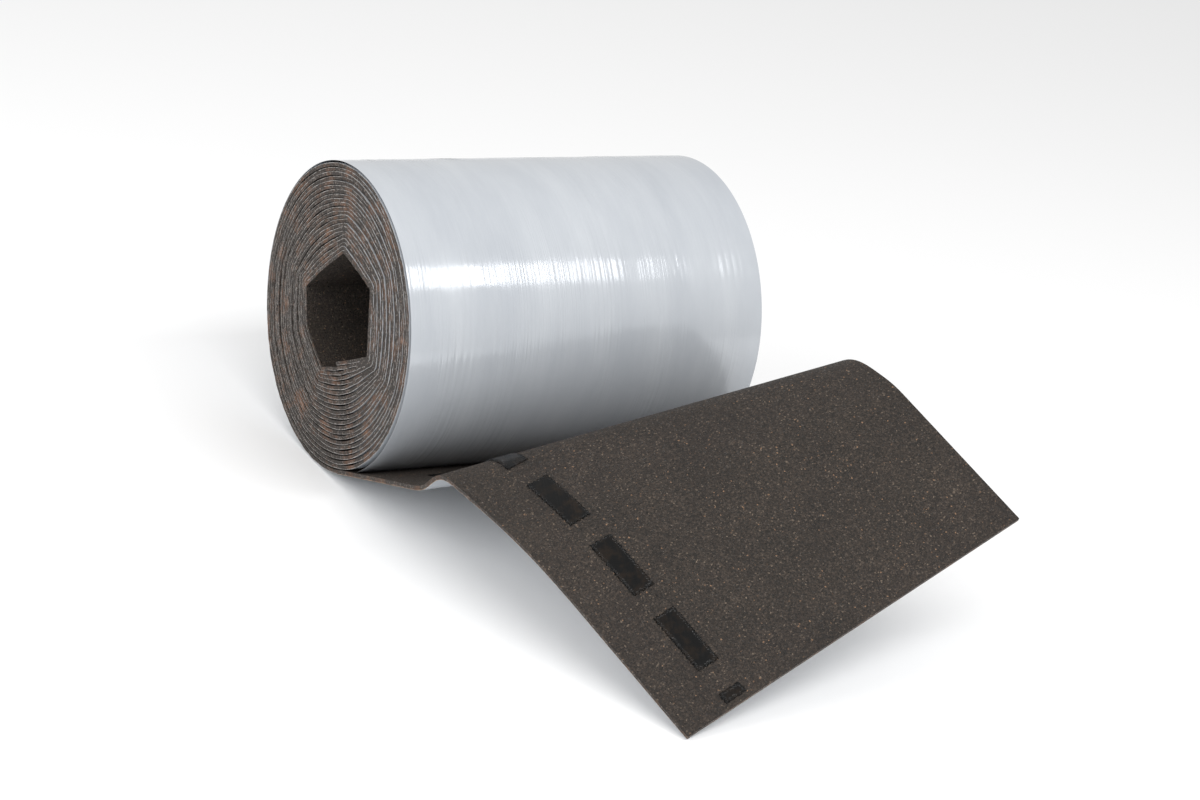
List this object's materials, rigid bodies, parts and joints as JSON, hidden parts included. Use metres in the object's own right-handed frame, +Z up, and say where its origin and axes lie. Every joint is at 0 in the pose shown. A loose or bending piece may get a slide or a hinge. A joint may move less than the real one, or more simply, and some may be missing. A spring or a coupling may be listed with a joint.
{
  "type": "roll of starter shingle",
  "caption": "Roll of granule-coated asphalt starter strip lying on its side, with a bent free tail and a broken line of sealant near one edge.",
  "frame": {"origin": "centre of the object's bounding box, on the floor", "axes": "+X along the roll's axis, from the end by the sealant line; +Y from the cut end of the tail towards the roll; +Z up"},
  "size_m": [0.2608, 0.4132, 0.1748],
  "materials": {
    "mineral_surface": "rough granules",
    "sealant": "gloss"
  },
  "bodies": {
    "root": {"shingle_strip": "mineral_surface", "sealant_dash_1": "sealant", "sealant_dash_2": "sealant", "sealant_dash_3": "sealant", "sealant_dash_4": "sealant", "sealant_dash_5": "sealant", "sealant_dash_6": "sealant"}
  },
  "joints": []
}
